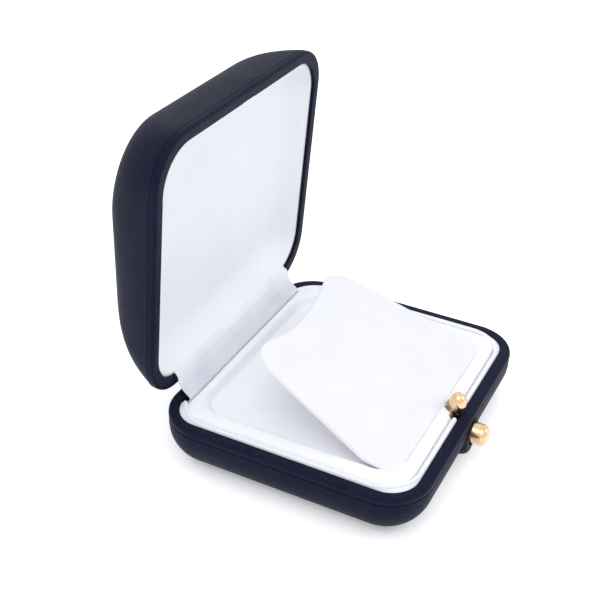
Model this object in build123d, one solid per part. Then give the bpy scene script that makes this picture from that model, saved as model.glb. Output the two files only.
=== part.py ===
from build123d import *
import math
import os

# Jewelry case: a leather-covered box with a pillow-shaped lid on a rear hinge, a padded
# insert with a lift-up display flap, and a push-button clasp at the front.
# Millimetres. X runs along the hinge, the clasp faces -Y, the hinge is at +Y, and the
# origin is the centre of the face that the case stands on. The lid stands open.

# Box
BOX_WIDTH = 90.0
BOX_DEPTH = 79.0
CORNER_RADIUS = 13.3
BASE_HEIGHT = 16.0
BOTTOM_ROUND = 11.5
LEATHER = 0.6
BASE_RIM_WIDTH = 3.5
LID_RIM_WIDTH = 3.2
BASE_INNER_CORNER = 8.6
LID_INNER_CORNER = 11.7
BASE_FLOOR = 2.4
FOOT_THICKNESS = 0.4
FOOT_MARGIN = 1.0

# Leather band round each rim, and the seam below it
BAND_HEIGHT = 2.1
BASE_TURN_IN = 3.9
LID_TURN_IN = 1.4
BAND_EDGE_ROUND = 0.5
RIM_INNER_ROUND = 0.25
SEAM_ROUND = 0.45

# Lid
LID_GAP = 0.15
LID_HEIGHT = 17.9
LID_SLOPE = 0.155
CROWN_POWER = 14
CROWN_CORNER_GROWTH = 1.38
CROWN_LEAST_RUN = 1.0
CROWN_INSETS = [0.0, 0.35, 1.0, 2.0, 3.5, 6.0, 10.0, 16.0]
LID_CORE_HEIGHT = 11.85
LID_CORE_ROUND = 11.0
LID_CORE_STEP = 0.4
LID_CORE_CORNER = 15.3
LID_LINING_DEPTH = 8.5
LID_LINING_DROP = 1.1
LID_LINING_THICKNESS = 0.8
LID_LINING_COVE = 8.0
LID_BOARD_THICKNESS = 1.2

# Rear hinge
OPEN_ANGLE = 85.8
HINGE_BEHIND = 1.6
HINGE_RISE = 2.4
HINGE_LENGTH = 40.0
HINGE_KNUCKLES = 5
KNUCKLE_RADIUS = 1.3
KNUCKLE_GAP = 0.12
PIN_RADIUS = 0.6
PIN_CLEARANCE = 0.05
LEAF_THICKNESS = 0.6
LEAF_INSET = 0.25
LEAF_SCREW_COUNT = 3
LEAF_SCREW_PITCH = 14.0
SCREW_HEAD_RADIUS = 0.9
SCREW_SHANK_RADIUS = 0.45
SCREW_LENGTH = 2.6
STOP_GAP = 0.05

# Satin hinge ribbon
RIBBON_WIDTH = 62.0
RIBBON_THICKNESS = 0.35
RIBBON_TUCK = 2.4
RIBBON_CLEARANCE = 0.3
RIBBON_CREASE_LOW = 0.6
RIBBON_CREASE_HIGH = 3.0
RIBBON_CREASE_BACK = 1.3
STRIP_BEND = 0.4

# White collar that stands inside the base rim
COLLAR_THICKNESS = 1.4
COLLAR_PROUD = 0.8
COLLAR_INNER_CORNER = 9.4
COLLAR_EDGE_ROUND = 0.5

# Insert
FOAM_TOP = 11.9
FOAM_FRONT = 10.5
FOAM_SIDE = 7.0
FOAM_REAR = 5.5
PAD_BOARD_THICKNESS = 1.2
PAD_CLEARANCE = 0.3
PAD_PROUD = 1.2
PAD_SHOULDER = 2.4
RECESS_SIDE_MARGIN = 10.2
RECESS_END_MARGIN = 9.5
RECESS_CORNER = 8.0
RECESS_SINK = 2.5
RECESS_EDGE_ROUND = 0.8

# Display flap
FLAP_CLEARANCE = 0.8
FLAP_FINGER_GAP = 6.0
FLAP_THICKNESS = 2.4
FLAP_CORNER = 7.5
FLAP_EDGE_ROUND = 1.1
FLAP_LIFT = 21.0
FLAP_FLOOR_GAP = 0.5
FLAP_SCOOP = 1.8
FLAP_BOARD_THICKNESS = 1.0
FLAP_BOARD_MARGIN = 1.6
TAPE_THICKNESS = 0.2
TAPE_WIDTH = 3.6
TAPE_MARGIN = 8.0

# Clasp
BUTTON_RADIUS = 3.15
BUTTON_PROUD = 4.9
BUTTON_DROP = 5.9
BUTTON_EDGE_ROUND = 1.1
BUTTON_TRAVEL = 0.45
BUTTON_DEPTH_INSIDE = 1.0
ROD_RADIUS = 1.2
ROD_CLEARANCE = 0.1
FERRULE_WALL = 0.5
FERRULE_CLEARANCE = 0.06
FERRULE_SET_BACK = 0.25
BOSS_RADIUS = 5.8
BOSS_PROUD = 0.45
BOSS_HOLE_GAP = 0.15
BOSS_EDGE_ROUND = 0.9
LEVER_WIDTH = 4.0
LEVER_THICKNESS = 0.8
LEVER_INSET = 5.9
LEVER_PIVOT_HEIGHT = 5.6
LEVER_EYE_RADIUS = 1.3
BALL_RADIUS = 2.6
BALL_HALF_HEIGHT = 3.0
BALL_RISE = 2.6
BALL_INSET = 5.1
BRACKET_THICKNESS = 0.6
BRACKET_WIDTH = 13.0
BRACKET_LOW = 7.2
BRACKET_TOP = 11.9
CLASP_POCKET_FLOOR = 4.0
CLASP_POCKET_RUN = 1.9
CLASP_POCKET_GAP = 0.3
EAR_GAP = 0.15
EAR_THICKNESS = 0.6
HOOK_PIN_RADIUS = 0.55
SPRING_THICKNESS = 0.3
SPRING_WIDTH = 3.2
SPRING_FOOT = 3.0
SPRING_HEEL = 1.6
SPRING_KNEE_BACK = 1.5
SPRING_KNEE_DROP = 3.0
SPRING_TIP_DROP = 0.6
CLASP_SLOT_GAP = 0.8
COLLAR_SLOT_HALF = 4.6
CLASP_SCREW_SPACING = 9.6
CLASP_SCREW_LENGTH = 1.8

# Catch in the lid
CATCH_THICKNESS = 0.5
CATCH_LIP_THICKNESS = 0.5
CATCH_LEATHER = 0.3
CATCH_GAP = 0.3
CATCH_TOP_GAP = 0.2
CATCH_HEIGHT = 3.6
CATCH_SIDE_GAP = 0.7

# How far a cutter runs past the face that it cuts
OVERCUT = 1.0

# Derived places
RIM_Z = BASE_HEIGHT
LID_Z = BASE_HEIGHT + LID_GAP
FRONT_Y = -BOX_DEPTH / 2
REAR_Y = BOX_DEPTH / 2
CORE_TOP = RIM_Z - LEATHER
CORE_BOTTOM = FOOT_THICKNESS + LEATHER
CAVITY_FLOOR = CORE_BOTTOM + BASE_FLOOR
BASE_WALL_INSET = BASE_RIM_WIDTH - LEATHER
LID_WALL_INSET = LID_RIM_WIDTH - LEATHER
HINGE_Y = REAR_Y + HINGE_BEHIND
HINGE_Z = RIM_Z + HINGE_RISE
BUTTON_Z = RIM_Z - BUTTON_DROP
BORE_RADIUS = BUTTON_RADIUS + FERRULE_CLEARANCE
FERRULE_RADIUS = BORE_RADIUS + FERRULE_WALL
PAD_TOP = RIM_Z + PAD_PROUD
RECESS_FLOOR = PAD_TOP - RECESS_SINK
PAD_INSET = BASE_RIM_WIDTH + COLLAR_THICKNESS + PAD_CLEARANCE
PAD_CORNER = COLLAR_INNER_CORNER - PAD_CLEARANCE
PAD_BOTTOM = FOAM_TOP + PAD_BOARD_THICKNESS
BALL_Y = FRONT_Y + BALL_INSET
BALL_Z = RIM_Z + BALL_RISE
LEVER_Y = FRONT_Y + LEVER_INSET
SLOT_HALF = LEVER_WIDTH / 2 + CLASP_SLOT_GAP
HOOK_Y = LEVER_Y + LEVER_THICKNESS / 2
STEM_TOP = BALL_Z + BALL_HALF_HEIGHT / 3
LEVER_ARM = BUTTON_Z - LEVER_PIVOT_HEIGHT
HOOK_SWING = BUTTON_TRAVEL / LEVER_ARM
STEM_SWING = HOOK_SWING * (PAD_TOP - LEVER_PIVOT_HEIGHT)
BALL_WAIST = BALL_RADIUS * math.sqrt(1 - ((BALL_Z - PAD_TOP) / BALL_HALF_HEIGHT) ** 2)
SLOT_BACK = BALL_Y + BALL_WAIST + STEM_SWING + PAD_CLEARANCE
CATCH_Z = LID_Z + CATCH_LEATHER
CATCH_LIP_TOP = CATCH_Z + CATCH_LIP_THICKNESS
BALL_NECK = BALL_RADIUS * math.sqrt(1 - ((BALL_Z - CATCH_LIP_TOP) / BALL_HALF_HEIGHT) ** 2)
CATCH_LIP_EDGE = BALL_Y - BALL_NECK - STOP_GAP
LINING_FLOOR = LID_Z + LID_LINING_DEPTH
LINING_BACK = LINING_FLOOR + LID_LINING_THICKNESS
LID_CAVITY_TOP = LINING_BACK + LID_BOARD_THICKNESS
LID_CORE_TOP = LID_Z + LID_CORE_HEIGHT
LID_SEAM = LID_Z + BAND_HEIGHT
BASE_SEAM = RIM_Z - BAND_HEIGHT
RECESS_WIDTH = BOX_WIDTH - 2 * RECESS_SIDE_MARGIN
RECESS_DEPTH = BOX_DEPTH - 2 * RECESS_END_MARGIN
FLAP_WIDTH = RECESS_WIDTH - 2 * FLAP_CLEARANCE
FLAP_LENGTH = RECESS_DEPTH - FLAP_FLOOR_GAP - FLAP_FINGER_GAP
FLAP_PIVOT_Z = RECESS_FLOOR + FLAP_FLOOR_GAP + FLAP_THICKNESS / 2
FLAP_PIVOT_Y = -RECESS_DEPTH / 2 + FLAP_FLOOR_GAP + FLAP_THICKNESS / 2


def rounded_plan(inset, corner=None):
    """The box outline, drawn in from the outer wall by inset."""
    if corner is None:
        corner = CORNER_RADIUS - inset
    return RectangleRounded(BOX_WIDTH - 2 * inset, BOX_DEPTH - 2 * inset, corner)


def base_corner(inset):
    """Corner radius of the outlines inside the base rim."""
    return BASE_INNER_CORNER + BASE_RIM_WIDTH - inset


def lid_corner(inset):
    """Corner radius of the outlines inside the lid rim."""
    return LID_INNER_CORNER + LID_RIM_WIDTH - inset


def block(x_low, x_high, y_low, y_high, z_low, z_high):
    """A box given by its faces."""
    size = (x_high - x_low, y_high - y_low, z_high - z_low)
    centre = ((x_high + x_low) / 2, (y_high + y_low) / 2, (z_high + z_low) / 2)
    return Pos(*centre) * Box(*size)


def wall_prism(inset, z_low, z_high, corner=None):
    """The box outline at an inset, raised from z_low to z_high."""
    return Pos(0, 0, z_low) * extrude(rounded_plan(inset, corner), z_high - z_low)


def edges_at(part, height):
    """Edges that lie level at a height."""
    return part.edges().filter_by_position(Axis.Z, height - 0.001, height + 0.001)


def bowl(inset, z_low, z_high, corner=None):
    """The base form with its rounded bottom, drawn in by inset."""
    form = wall_prism(inset, z_low, z_high, corner)
    return fillet(edges_at(form, z_low), BOTTOM_ROUND - inset)


def cavity(z_high):
    """The hollow of the base tray."""
    return bowl(BASE_WALL_INSET, CAVITY_FLOOR, z_high, base_corner(BASE_WALL_INSET))


def across(radius, y_low, y_high, height, x=0.0):
    """A round bar along Y."""
    bar = Cylinder(radius, y_high - y_low, rotation=(90, 0, 0))
    return Pos(x, (y_low + y_high) / 2, height) * bar


def along(radius, x_low, x_high, y, z):
    """A round bar along X."""
    bar = Cylinder(radius, x_high - x_low, rotation=(0, 90, 0))
    return Pos((x_low + x_high) / 2, y, z) * bar


def opened(part):
    """A lid piece, drawn closed, swung open about the hinge pin."""
    swing = Pos(0, HINGE_Y, HINGE_Z) * Rot(-OPEN_ANGLE, 0, 0) * Pos(0, -HINGE_Y, -HINGE_Z)
    return swing * part


def lifted(part):
    """A flap piece, drawn flat, lifted about its front edge."""
    swing = Pos(0, FLAP_PIVOT_Y, FLAP_PIVOT_Z) * Rot(FLAP_LIFT, 0, 0)
    return swing * Pos(0, -FLAP_PIVOT_Y, -FLAP_PIVOT_Z) * part


# Shared cut-outs

def hinge_window(z_low, z_high):
    """The notch that a hinge leaf is let into, open at the rear."""
    half = HINGE_LENGTH / 2 + LEAF_INSET
    front = REAR_Y - BASE_RIM_WIDTH
    return block(-half, half, front, REAR_Y + KNUCKLE_RADIUS, z_low, z_high)


def clasp_slot(half, z_low, z_high):
    """The slot that the hook lever stands in."""
    return block(-half, half, FRONT_Y, SLOT_BACK, z_low, z_high)


def clasp_pocket():
    """Room cut into the front of the tray for the bracket and the lever's foot."""
    front = FRONT_Y + BASE_WALL_INSET
    rear = FRONT_Y + FOAM_FRONT
    side = [
        (front, CORE_TOP + OVERCUT),
        (front, BRACKET_LOW - CLASP_POCKET_GAP),
        (front + CLASP_POCKET_RUN, CLASP_POCKET_FLOOR),
        (rear, CLASP_POCKET_FLOOR),
        (rear, CORE_TOP + OVERCUT),
    ]
    half = BRACKET_WIDTH / 2 + CLASP_POCKET_GAP
    section = make_face(Polyline(side, close=True))
    return Pos(-half, 0, 0) * extrude(Plane.YZ * section, 2 * half)


# Base

def make_base_core():
    core = bowl(LEATHER, CORE_BOTTOM, CORE_TOP)
    core -= cavity(CORE_TOP + OVERCUT)
    core -= across(FERRULE_RADIUS, FRONT_Y - OVERCUT, FRONT_Y + BASE_RIM_WIDTH, BUTTON_Z)
    core -= screw_places("base", SCREW_SHANK_RADIUS, SCREW_SHANK_RADIUS)
    core -= clasp_screw_group(0.0)
    return core - clasp_pocket()


def make_base_cover():
    cover = bowl(0, FOOT_THICKNESS, BASE_SEAM)
    cover = fillet(edges_at(cover, BASE_SEAM), SEAM_ROUND)
    cover -= bowl(LEATHER, CORE_BOTTOM, BASE_SEAM + OVERCUT)
    return cover - across(FERRULE_RADIUS, FRONT_Y - OVERCUT, FRONT_Y + BASE_RIM_WIDTH, BUTTON_Z)


def rim_band(rim_width, face_z, up, turn_in, inner_corner):
    """Leather band folded over a rim: outer skin, face and turned-in inner skin."""
    far = face_z + up * BAND_HEIGHT
    low, high = sorted((face_z, far))
    band = wall_prism(0, low, high)
    band = fillet(edges_at(band, face_z), BAND_EDGE_ROUND)
    band = fillet(edges_at(band, far), SEAM_ROUND)
    low, high = sorted((face_z + up * LEATHER, far + up))
    band -= wall_prism(LEATHER, low, high)
    low, high = sorted((face_z, face_z + up * turn_in))
    band += wall_prism(rim_width - LEATHER, low, high, inner_corner + LEATHER)
    low -= OVERCUT
    high += OVERCUT
    band -= wall_prism(rim_width, low, high, inner_corner)
    near_inset = rim_width - RIM_INNER_ROUND
    near = wall_prism(near_inset, low, high, inner_corner + RIM_INNER_ROUND)
    inner_edges = ShapeList(edge for edge in edges_at(band, face_z) if near.is_inside(edge @ 0.5))
    return fillet(inner_edges, RIM_INNER_ROUND)


def make_base_rim_band():
    band = rim_band(BASE_RIM_WIDTH, RIM_Z, -1, BASE_TURN_IN, BASE_INNER_CORNER)
    return band - hinge_window(CORE_TOP, RIM_Z + OVERCUT)


def make_base_foot():
    inset = BOTTOM_ROUND + FOOT_MARGIN
    return wall_prism(inset, 0, FOOT_THICKNESS, BOTTOM_ROUND / 2)


def make_base_collar():
    """White strip inside the rim. Its top is drawn to the corners of the lid's opening."""
    top = RIM_Z + COLLAR_PROUD
    over = top + OVERCUT
    inner_inset = BASE_RIM_WIDTH + COLLAR_THICKNESS
    collar = wall_prism(BASE_RIM_WIDTH, CAVITY_FLOOR, RIM_Z, BASE_INNER_CORNER)
    collar += wall_prism(BASE_RIM_WIDTH, RIM_Z, top, lid_corner(BASE_RIM_WIDTH))
    collar -= wall_prism(inner_inset, CAVITY_FLOOR - OVERCUT, over, COLLAR_INNER_CORNER)
    collar = fillet(edges_at(collar, top), COLLAR_EDGE_ROUND)
    collar &= cavity(over)
    collar -= clasp_slot(COLLAR_SLOT_HALF, CAVITY_FLOOR - OVERCUT, over)
    half = RIBBON_WIDTH / 2 + RIBBON_CLEARANCE
    low = RIM_Z - RIBBON_TUCK - RIBBON_CLEARANCE
    return collar - block(-half, half, 0, REAR_Y, low, over)


# Insert

def make_pad_foam():
    foam = block(
        -BOX_WIDTH / 2 + FOAM_SIDE,
        BOX_WIDTH / 2 - FOAM_SIDE,
        FRONT_Y + FOAM_FRONT,
        REAR_Y - FOAM_REAR,
        CAVITY_FLOOR,
        FOAM_TOP,
    )
    return foam & bowl(FOAM_REAR, CAVITY_FLOOR, FOAM_TOP, PAD_CORNER)


def make_pad_board():
    board = wall_prism(PAD_INSET, FOAM_TOP, PAD_BOTTOM, PAD_CORNER)
    return board - clasp_slot(SLOT_HALF, FOAM_TOP - OVERCUT, PAD_BOTTOM + OVERCUT)


def recess_plan():
    return RectangleRounded(RECESS_WIDTH, RECESS_DEPTH, RECESS_CORNER)


def make_insert_pad():
    pad = wall_prism(PAD_INSET, PAD_BOTTOM, PAD_TOP, PAD_CORNER)
    pad = fillet(edges_at(pad, PAD_TOP), PAD_SHOULDER)
    pad -= Pos(0, 0, RECESS_FLOOR) * extrude(recess_plan(), RECESS_SINK + OVERCUT)
    near = offset(recess_plan(), RIM_INNER_ROUND)
    reach = Pos(0, 0, PAD_TOP - OVERCUT) * extrude(near, 2 * OVERCUT)
    lip = ShapeList(edge for edge in edges_at(pad, PAD_TOP) if reach.is_inside(edge @ 0.5))
    pad = fillet(lip, RECESS_EDGE_ROUND)
    return pad - clasp_slot(SLOT_HALF, PAD_BOTTOM - OVERCUT, PAD_TOP + OVERCUT)


def make_flap_tape():
    """Velvet strip on the recess floor that the flap's front edge is sewn to."""
    half = FLAP_WIDTH / 2 - TAPE_MARGIN
    front = -RECESS_DEPTH / 2
    top = RECESS_FLOOR + TAPE_THICKNESS
    return block(-half, half, front, front + TAPE_WIDTH, RECESS_FLOOR, top)


# Display flap

def flap_plan(margin):
    """The flap outline with its shallow thumb scoop in the rear edge."""
    front = FLAP_PIVOT_Y - FLAP_THICKNESS / 2 + margin
    rear = FLAP_PIVOT_Y - FLAP_THICKNESS / 2 + FLAP_LENGTH - margin
    width = FLAP_WIDTH - 2 * margin
    scoop_radius = ((width / 2) ** 2 + FLAP_SCOOP ** 2) / (2 * FLAP_SCOOP)
    plan = Pos(0, (front + rear) / 2) * Rectangle(width, rear - front)
    plan -= Pos(0, rear + scoop_radius - FLAP_SCOOP) * Circle(scoop_radius)
    return fillet(plan.vertices(), FLAP_CORNER - margin)


def make_flap_board():
    low = FLAP_PIVOT_Z - FLAP_BOARD_THICKNESS / 2
    board = Pos(0, 0, low) * extrude(flap_plan(FLAP_BOARD_MARGIN), FLAP_BOARD_THICKNESS)
    return lifted(board)


def make_flap_cover():
    low = FLAP_PIVOT_Z - FLAP_THICKNESS / 2
    cover = Pos(0, 0, low) * extrude(flap_plan(0), FLAP_THICKNESS)
    cover = fillet(edges_at(cover, low) + edges_at(cover, low + FLAP_THICKNESS), FLAP_EDGE_ROUND)
    board_low = FLAP_PIVOT_Z - FLAP_BOARD_THICKNESS / 2
    cover -= Pos(0, 0, board_low) * extrude(flap_plan(FLAP_BOARD_MARGIN), FLAP_BOARD_THICKNESS)
    return lifted(cover)


# Lid, drawn closed

def crown_sections(skin):
    """Outlines of the pillow crown, each drawn in by the skin along the surface normal."""
    half = BOX_DEPTH / 2
    rise = LID_HEIGHT - BAND_HEIGHT
    sections = []
    for inset in CROWN_INSETS:
        left = 1 - inset / half
        height = BAND_HEIGHT + rise * (1 - left ** CROWN_POWER)
        slope = rise * CROWN_POWER / half * left ** (CROWN_POWER - 1)
        length = math.hypot(1, slope)
        in_by = inset + skin * slope / length
        up_by = height - skin / length
        corner = CORNER_RADIUS - skin + CROWN_CORNER_GROWTH * inset
        corner = min(corner, half - in_by - CROWN_LEAST_RUN)
        tilt = math.degrees(math.atan(up_by * LID_SLOPE / half))
        depth = (BOX_DEPTH - 2 * in_by) / math.cos(math.radians(tilt))
        outline = RectangleRounded(BOX_WIDTH - 2 * in_by, depth, corner)
        sections.append(Pos(0, 0, LID_Z + up_by) * Rot(-tilt, 0, 0) * outline)
    return sections


def crown(skin):
    return loft(crown_sections(skin))


def lid_core_form(inset, z_low, z_high, corner):
    """The wood shell's form: straight walls and a rounded top."""
    form = wall_prism(inset, z_low, z_high, corner)
    return fillet(edges_at(form, z_high), LID_CORE_ROUND - inset + LEATHER)


def lid_core_dome():
    inset = LEATHER + LID_CORE_STEP
    return lid_core_form(inset, LID_Z + LEATHER, LID_CORE_TOP, LID_CORE_CORNER)


def lid_cavity():
    corner = lid_corner(LID_WALL_INSET)
    return lid_core_form(LID_WALL_INSET, LID_Z - OVERCUT, LID_CAVITY_TOP, corner)


def above(height, form):
    """What a form has above a height."""
    return form - block(-BOX_WIDTH, BOX_WIDTH, -BOX_DEPTH, BOX_DEPTH, 0, height)


def make_lid_core():
    core = lid_core_dome() + wall_prism(LEATHER, LID_Z + LEATHER, LID_SEAM)
    core -= lid_cavity()
    core -= screw_places("lid", SCREW_SHANK_RADIUS, SCREW_SHANK_RADIUS)
    return core - catch_pocket()


def make_lid_padding():
    return above(LID_SEAM, crown(LEATHER)) - lid_core_dome()


def make_lid_cover():
    return above(LID_SEAM, crown(0)) - crown(LEATHER)


def make_lid_rim_band():
    band = rim_band(LID_RIM_WIDTH, LID_Z, 1, LID_TURN_IN, LID_INNER_CORNER)
    return band - hinge_window(LID_Z - OVERCUT, LID_Z + LEATHER) - catch_pocket()


def lining_form(inset, z_low, z_high):
    """The coved inside of the lid, down to z_low and with its flat at z_high."""
    form = wall_prism(inset, z_low, z_high, lid_corner(inset))
    return fillet(edges_at(form, z_high), LID_LINING_COVE + LID_RIM_WIDTH - inset)


def make_lid_lining():
    low = LID_Z + LID_LINING_DROP
    tray = lining_form(LID_RIM_WIDTH, low, LINING_BACK)
    inset = LID_RIM_WIDTH + LID_LINING_THICKNESS
    return tray - lining_form(inset, low - OVERCUT, LINING_FLOOR) - catch_pocket()


def make_lid_board():
    """Card former between the lining and the wood."""
    former = lid_cavity() - lining_form(LID_RIM_WIDTH, LID_Z - 2 * OVERCUT, LINING_BACK)
    return above(LID_Z + LID_TURN_IN, former) - catch_pocket()


# Rear hinge

def knuckle_spans(owner):
    """X limits of the knuckles of the base leaf or of the lid leaf."""
    pitch = HINGE_LENGTH / HINGE_KNUCKLES
    first = 0 if owner == "base" else 1
    spans = []
    for index in range(first, HINGE_KNUCKLES, 2):
        left = -HINGE_LENGTH / 2 + index * pitch
        spans.append((left + KNUCKLE_GAP / 2, left + pitch - KNUCKLE_GAP / 2))
    return spans


def leaf_screw_y():
    return REAR_Y - BASE_RIM_WIDTH / 2


def screw_places(owner, head_radius, shank_radius):
    """Countersunk screws down through a leaf into the wall below or above it."""
    up = -1 if owner == "base" else 1
    face = RIM_Z if owner == "base" else LID_Z
    screws = None
    for index in range(LEAF_SCREW_COUNT):
        x = (index - (LEAF_SCREW_COUNT - 1) / 2) * LEAF_SCREW_PITCH
        head_middle = face + up * LEAF_THICKNESS / 2
        head = Pos(x, leaf_screw_y(), head_middle) * Cylinder(head_radius, LEAF_THICKNESS)
        shank_middle = face + up * (LEAF_THICKNESS + SCREW_LENGTH) / 2
        shank = Cylinder(shank_radius, SCREW_LENGTH + LEAF_THICKNESS)
        shank = Pos(x, leaf_screw_y(), shank_middle) * shank
        screw = head + shank
        screws = screw if screws is None else screws + screw
    return screws


def leaf(owner):
    """A hinge leaf let into a rim, with a web up to each of its knuckles."""
    half = HINGE_LENGTH / 2
    front = REAR_Y - BASE_RIM_WIDTH + LEAF_INSET
    rear = REAR_Y - LEAF_INSET
    if owner == "base":
        low = CORE_TOP
        web_front = HINGE_Y + KNUCKLE_RADIUS - LEAF_THICKNESS
        web_top = stop_height(web_front + LEAF_THICKNESS / 2) - STOP_GAP
    else:
        low = LID_Z
        web_front = HINGE_Y - KNUCKLE_RADIUS
        web_top = HINGE_Z
    high = low + LEAF_THICKNESS
    plate = block(-half, half, front, rear, low, high)
    for left, right in knuckle_spans(owner):
        plate += block(left, right, rear - OVERCUT, web_front + LEAF_THICKNESS, low, high)
        plate += block(left, right, web_front, web_front + LEAF_THICKNESS, low, web_top)
        plate += along(KNUCKLE_RADIUS, left, right, HINGE_Y, HINGE_Z)
    reach = half + OVERCUT
    plate -= along(PIN_RADIUS + PIN_CLEARANCE, -reach, reach, HINGE_Y, HINGE_Z)
    return plate - screw_places(owner, SCREW_HEAD_RADIUS, SCREW_SHANK_RADIUS)


def stop_height(y):
    """Height of the open lid's rear wall over the base leaf's stop tabs."""
    angle = math.radians(OPEN_ANGLE)
    along_wall = (y - HINGE_Y + HINGE_BEHIND * math.cos(angle)) / math.sin(angle)
    return HINGE_Z + HINGE_BEHIND * math.sin(angle) + along_wall * math.cos(angle)


def make_hinge_pin():
    half = HINGE_LENGTH / 2
    return along(PIN_RADIUS, -half, half, HINGE_Y, HINGE_Z)


def opened_point(y, z):
    """Where a point of the closed lid lies when the lid stands open."""
    angle = math.radians(OPEN_ANGLE)
    back = y - HINGE_Y
    up = z - HINGE_Z
    new_y = HINGE_Y + back * math.cos(angle) + up * math.sin(angle)
    return new_y, HINGE_Z - back * math.sin(angle) + up * math.cos(angle)


def ribbon_points():
    """Centre line of the ribbon: out of the collar, creased, and round the lid's rim."""
    tuck_y = REAR_Y - BASE_RIM_WIDTH - COLLAR_THICKNESS / 2
    clear = RIBBON_CLEARANCE + RIBBON_THICKNESS / 2
    end_y = REAR_Y - LID_RIM_WIDTH - clear
    return [
        (tuck_y, RIM_Z - RIBBON_TUCK),
        (tuck_y, RIM_Z + RIBBON_CREASE_LOW),
        (tuck_y + RIBBON_CREASE_BACK, RIM_Z + RIBBON_CREASE_HIGH),
        opened_point(end_y, LID_Z - clear),
        opened_point(end_y, LID_Z + LID_LINING_DROP / 2),
    ]


def make_hinge_ribbon():
    strip = strip_section(ribbon_points(), RIBBON_THICKNESS)
    return Pos(-RIBBON_WIDTH / 2, 0, 0) * extrude(Plane.YZ * strip, RIBBON_WIDTH)


def strip_section(points, thickness):
    """A section of even thickness along a bent line, with its bends eased."""
    one_side = []
    other_side = []
    for index, point in enumerate(points):
        here = Vector(*point)
        runs = []
        if index > 0:
            runs.append((here - Vector(*points[index - 1])).normalized())
        if index < len(points) - 1:
            runs.append((Vector(*points[index + 1]) - here).normalized())
        heading = (runs[0] + runs[-1]).normalized()
        reach = thickness / 2 / heading.dot(runs[0])
        normal = Vector(-heading.Y, heading.X) * reach
        one_side.append(here + normal)
        other_side.append(here - normal)
    section = make_face(Polyline(one_side + other_side[::-1], close=True))
    ends = (Vector(*points[0]), Vector(*points[-1]))
    bends = section.vertices().filter_by(
        lambda vertex: min((Vector(*vertex) - end).length for end in ends) > thickness
    )
    return fillet(bends, STRIP_BEND)


# Clasp

def make_button_cap():
    face = FRONT_Y - BUTTON_PROUD
    back = FRONT_Y + BUTTON_DEPTH_INSIDE
    cap = across(BUTTON_RADIUS, face, back, BUTTON_Z)
    rim = cap.edges().filter_by_position(Axis.Y, face - 0.001, face + 0.001)
    return fillet(rim, BUTTON_EDGE_ROUND)


def make_button_rod():
    """Push rod with a domed end that bears on the lever."""
    tip = LEVER_Y - STOP_GAP
    rod = across(ROD_RADIUS, FRONT_Y + BUTTON_DEPTH_INSIDE, tip - ROD_RADIUS, BUTTON_Z)
    return rod + Pos(0, tip - ROD_RADIUS, BUTTON_Z) * Sphere(ROD_RADIUS)


def make_button_ferrule():
    front = FRONT_Y + FERRULE_SET_BACK
    back = FRONT_Y + BASE_WALL_INSET
    ferrule = across(FERRULE_RADIUS, front, back, BUTTON_Z)
    return ferrule - across(BORE_RADIUS, front - OVERCUT, back + OVERCUT, BUTTON_Z)


def make_clasp_boss():
    """Leather-covered washer round the button, filling out the wall that curves away below."""
    front = FRONT_Y - BOSS_PROUD
    boss = across(BOSS_RADIUS, front, FRONT_Y + BASE_RIM_WIDTH, BUTTON_Z)
    rim = boss.edges().filter_by_position(Axis.Y, front - 0.001, front + 0.001)
    boss = fillet(rim, BOSS_EDGE_ROUND)
    boss -= bowl(0, FOOT_THICKNESS, RIM_Z + OVERCUT)
    boss -= block(-BOSS_RADIUS, BOSS_RADIUS, front, FRONT_Y + BOSS_RADIUS, BASE_SEAM, RIM_Z)
    hole_radius = BUTTON_RADIUS + BOSS_HOLE_GAP
    boss -= across(hole_radius, front - OVERCUT, FRONT_Y + OVERCUT, BUTTON_Z)
    behind = FRONT_Y + FERRULE_SET_BACK
    return boss - across(FERRULE_RADIUS, behind, FRONT_Y + BASE_RIM_WIDTH, BUTTON_Z)


def make_hook_lever():
    half = LEVER_WIDTH / 2
    back = LEVER_Y + LEVER_THICKNESS
    stem = block(-half, half, LEVER_Y, back, LEVER_PIVOT_HEIGHT, STEM_TOP)
    eye = along(LEVER_EYE_RADIUS, -half, half, HOOK_Y, LEVER_PIVOT_HEIGHT)
    bore_radius = HOOK_PIN_RADIUS + PIN_CLEARANCE
    reach = half + OVERCUT
    return stem + eye - along(bore_radius, -reach, reach, HOOK_Y, LEVER_PIVOT_HEIGHT)


def make_hook_ball():
    """An egg-shaped knob on the front of the lever."""
    egg = scale(Sphere(BALL_RADIUS), by=(1, 1, BALL_HALF_HEIGHT / BALL_RADIUS))
    half = LEVER_WIDTH / 2
    stem = block(-half, half, LEVER_Y, LEVER_Y + LEVER_THICKNESS, 0, STEM_TOP)
    return Pos(0, BALL_Y, BALL_Z) * egg - stem


def make_hook_pin():
    half = LEVER_WIDTH / 2 + EAR_GAP + EAR_THICKNESS
    return along(HOOK_PIN_RADIUS, -half, half, HOOK_Y, LEVER_PIVOT_HEIGHT)


def clasp_screw_group(head_radius):
    """Two countersunk screws that hold the bracket to the front wall."""
    plate_front = FRONT_Y + BASE_WALL_INSET
    plate_back = plate_front + BRACKET_THICKNESS
    screws = None
    for side in (-1, 1):
        x = side * CLASP_SCREW_SPACING / 2
        tip = plate_front - CLASP_SCREW_LENGTH
        screw = across(SCREW_SHANK_RADIUS, tip, plate_back, BUTTON_Z, x)
        if head_radius > 0:
            screw += across(head_radius, plate_front, plate_back, BUTTON_Z, x)
        screws = screw if screws is None else screws + screw
    return screws


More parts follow.
